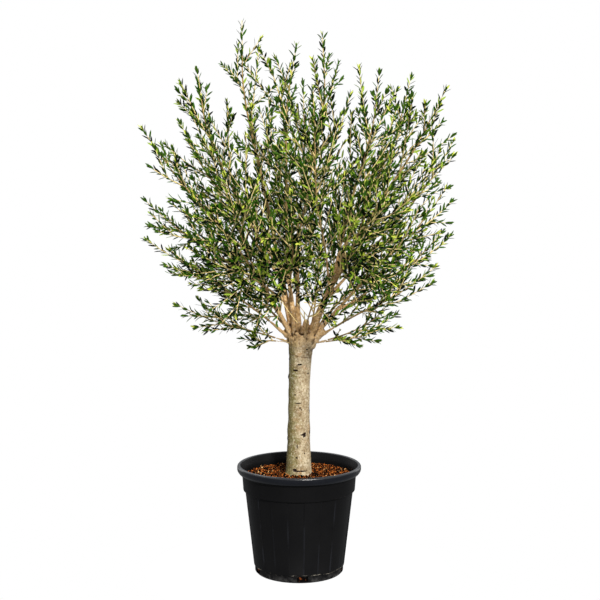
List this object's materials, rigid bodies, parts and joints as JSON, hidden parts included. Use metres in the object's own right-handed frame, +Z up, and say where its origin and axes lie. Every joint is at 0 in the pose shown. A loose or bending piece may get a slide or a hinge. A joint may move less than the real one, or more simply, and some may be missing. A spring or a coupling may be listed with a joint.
{
  "type": "potted olive tree",
  "caption": "A straight clear trunk with a knuckled head and an open, bushy crown of slim leaves, growing in a round black ribbed pot filled with bark mulch.",
  "frame": {"origin": "middle of the pot's flat underside", "axes": "+Z up along the trunk; +X to the right and -Y to the front, where the picture was taken from"},
  "size_m": [1.1699, 1.0923, 1.9975],
  "materials": {
    "pot": "satin black moulded plastic",
    "soil": "coarse red-brown bark mulch",
    "bark": "smooth tan bark",
    "foliage": "leathery grey-green leaves"
  },
  "bodies": {
    "root": {"foliage_back": "foliage", "foliage_back_left": "foliage", "foliage_back_left_low": "foliage", "foliage_back_right": "foliage", "foliage_back_right_low": "foliage", "foliage_back_top": "foliage", "foliage_centre": "foliage", "foliage_front": "foliage", "foliage_front_left": "foliage", "foliage_front_low": "foliage", "foliage_front_right": "foliage", "foliage_front_top": "foliage", "foliage_inner_left": "foliage", "foliage_inner_right": "foliage", "foliage_left_back": "foliage", "foliage_left_droop": "foliage", "foliage_left_front": "foliage", "foliage_left_low": "foliage", "foliage_left_outer": "foliage", "foliage_left_side": "foliage", "foliage_left_skirt": "foliage", "foliage_left_upper": "foliage", "foliage_right": "foliage", "foliage_right_back": "foliage", "foliage_right_droop": "foliage", "foliage_right_front": "foliage", "foliage_right_low": "foliage", "foliage_right_outer": "foliage", "foliage_right_side": "foliage", "foliage_right_skirt": "foliage", "foliage_right_top": "foliage", "foliage_right_upper": "foliage", "limb_back": "bark", "limb_back_left": "bark", "limb_back_left_low": "bark", "limb_back_right": "bark", "limb_back_right_low": "bark", "limb_back_top": "bark", "limb_centre": "bark", "limb_front": "bark", "limb_front_left": "bark", "limb_front_right": "bark", "limb_front_top": "bark", "limb_left_back": "bark", "limb_left_front": "bark", "limb_left_low": "bark", "limb_left_outer": "bark", "limb_left_side": "bark", "limb_left_upper": "bark", "limb_right": "bark", "limb_right_back": "bark", "limb_right_front": "bark", "limb_right_low": "bark", "limb_right_outer": "bark", "limb_right_side": "bark", "limb_right_top": "bark", "limb_right_upper": "bark", "pot": "pot", "soil": "soil", "trunk": "bark"}
  },
  "joints": []
}
